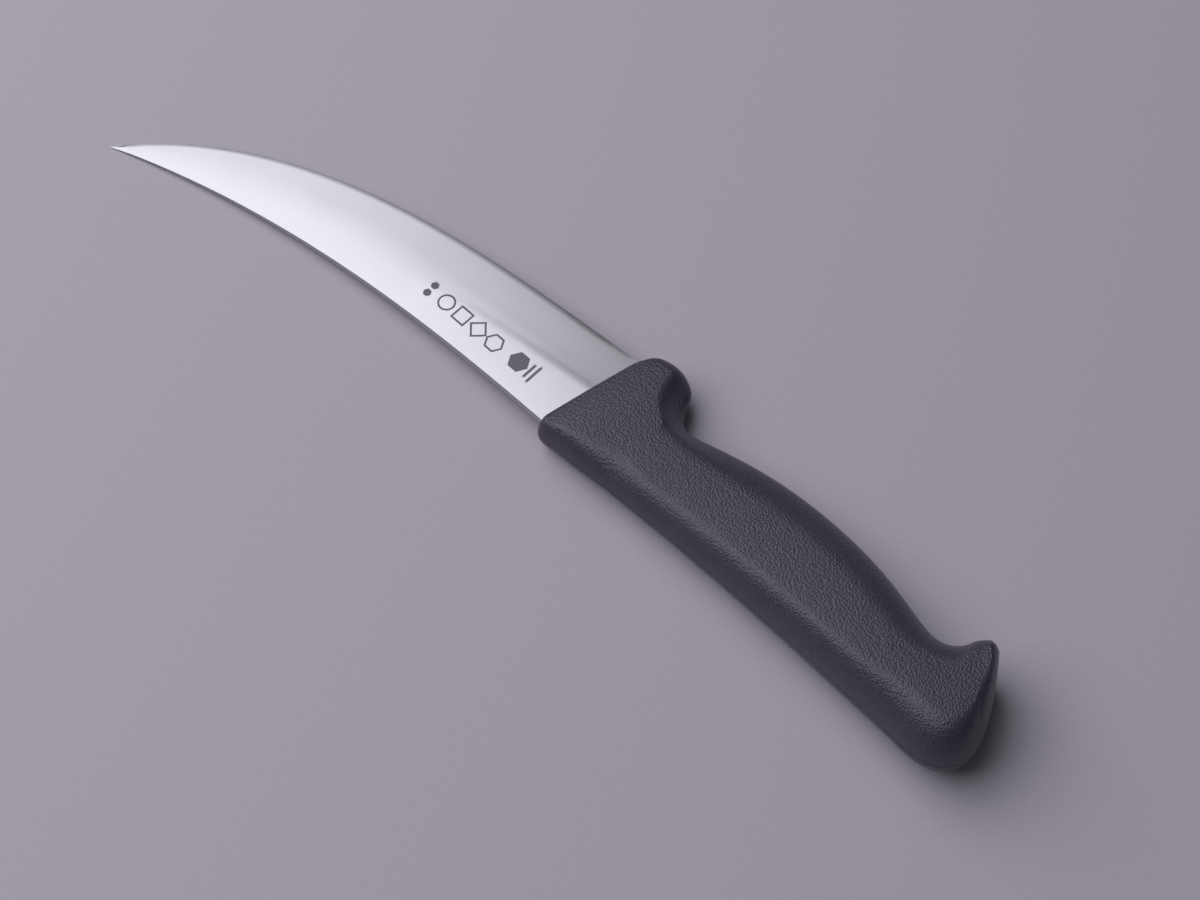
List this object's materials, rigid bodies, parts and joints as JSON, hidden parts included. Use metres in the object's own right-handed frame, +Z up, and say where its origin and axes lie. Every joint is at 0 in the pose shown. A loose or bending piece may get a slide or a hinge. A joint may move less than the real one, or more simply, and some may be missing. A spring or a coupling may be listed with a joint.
{
  "type": "curved boning knife",
  "caption": "Curved boning knife: up-swept ground steel blade with a hidden tang, rigid moulded core and soft grained black grip with a finger guard and a hooked butt, lying on its side.",
  "frame": {"origin": "centre of the bounding box at its bottom, on the surface that the knife lies on", "axes": "+X towards the blade's tip, +Y towards the spine side, +Z up, away from the surface; the knife lies on its side with the tip and the thick end of the grip touching the surface"},
  "size_m": [0.2678, 0.0538, 0.0222],
  "materials": {
    "blade_steel": "fine satin ground stainless steel, with a brighter sharpened bevel",
    "core_plastic": "black rigid moulding plastic, hidden",
    "grip_skin": "charcoal black soft moulding plastic with a fine pebbled leather grain"
  },
  "bodies": {
    "root": {"blade": "blade_steel", "handle_core": "core_plastic", "grip": "grip_skin"}
  },
  "joints": []
}
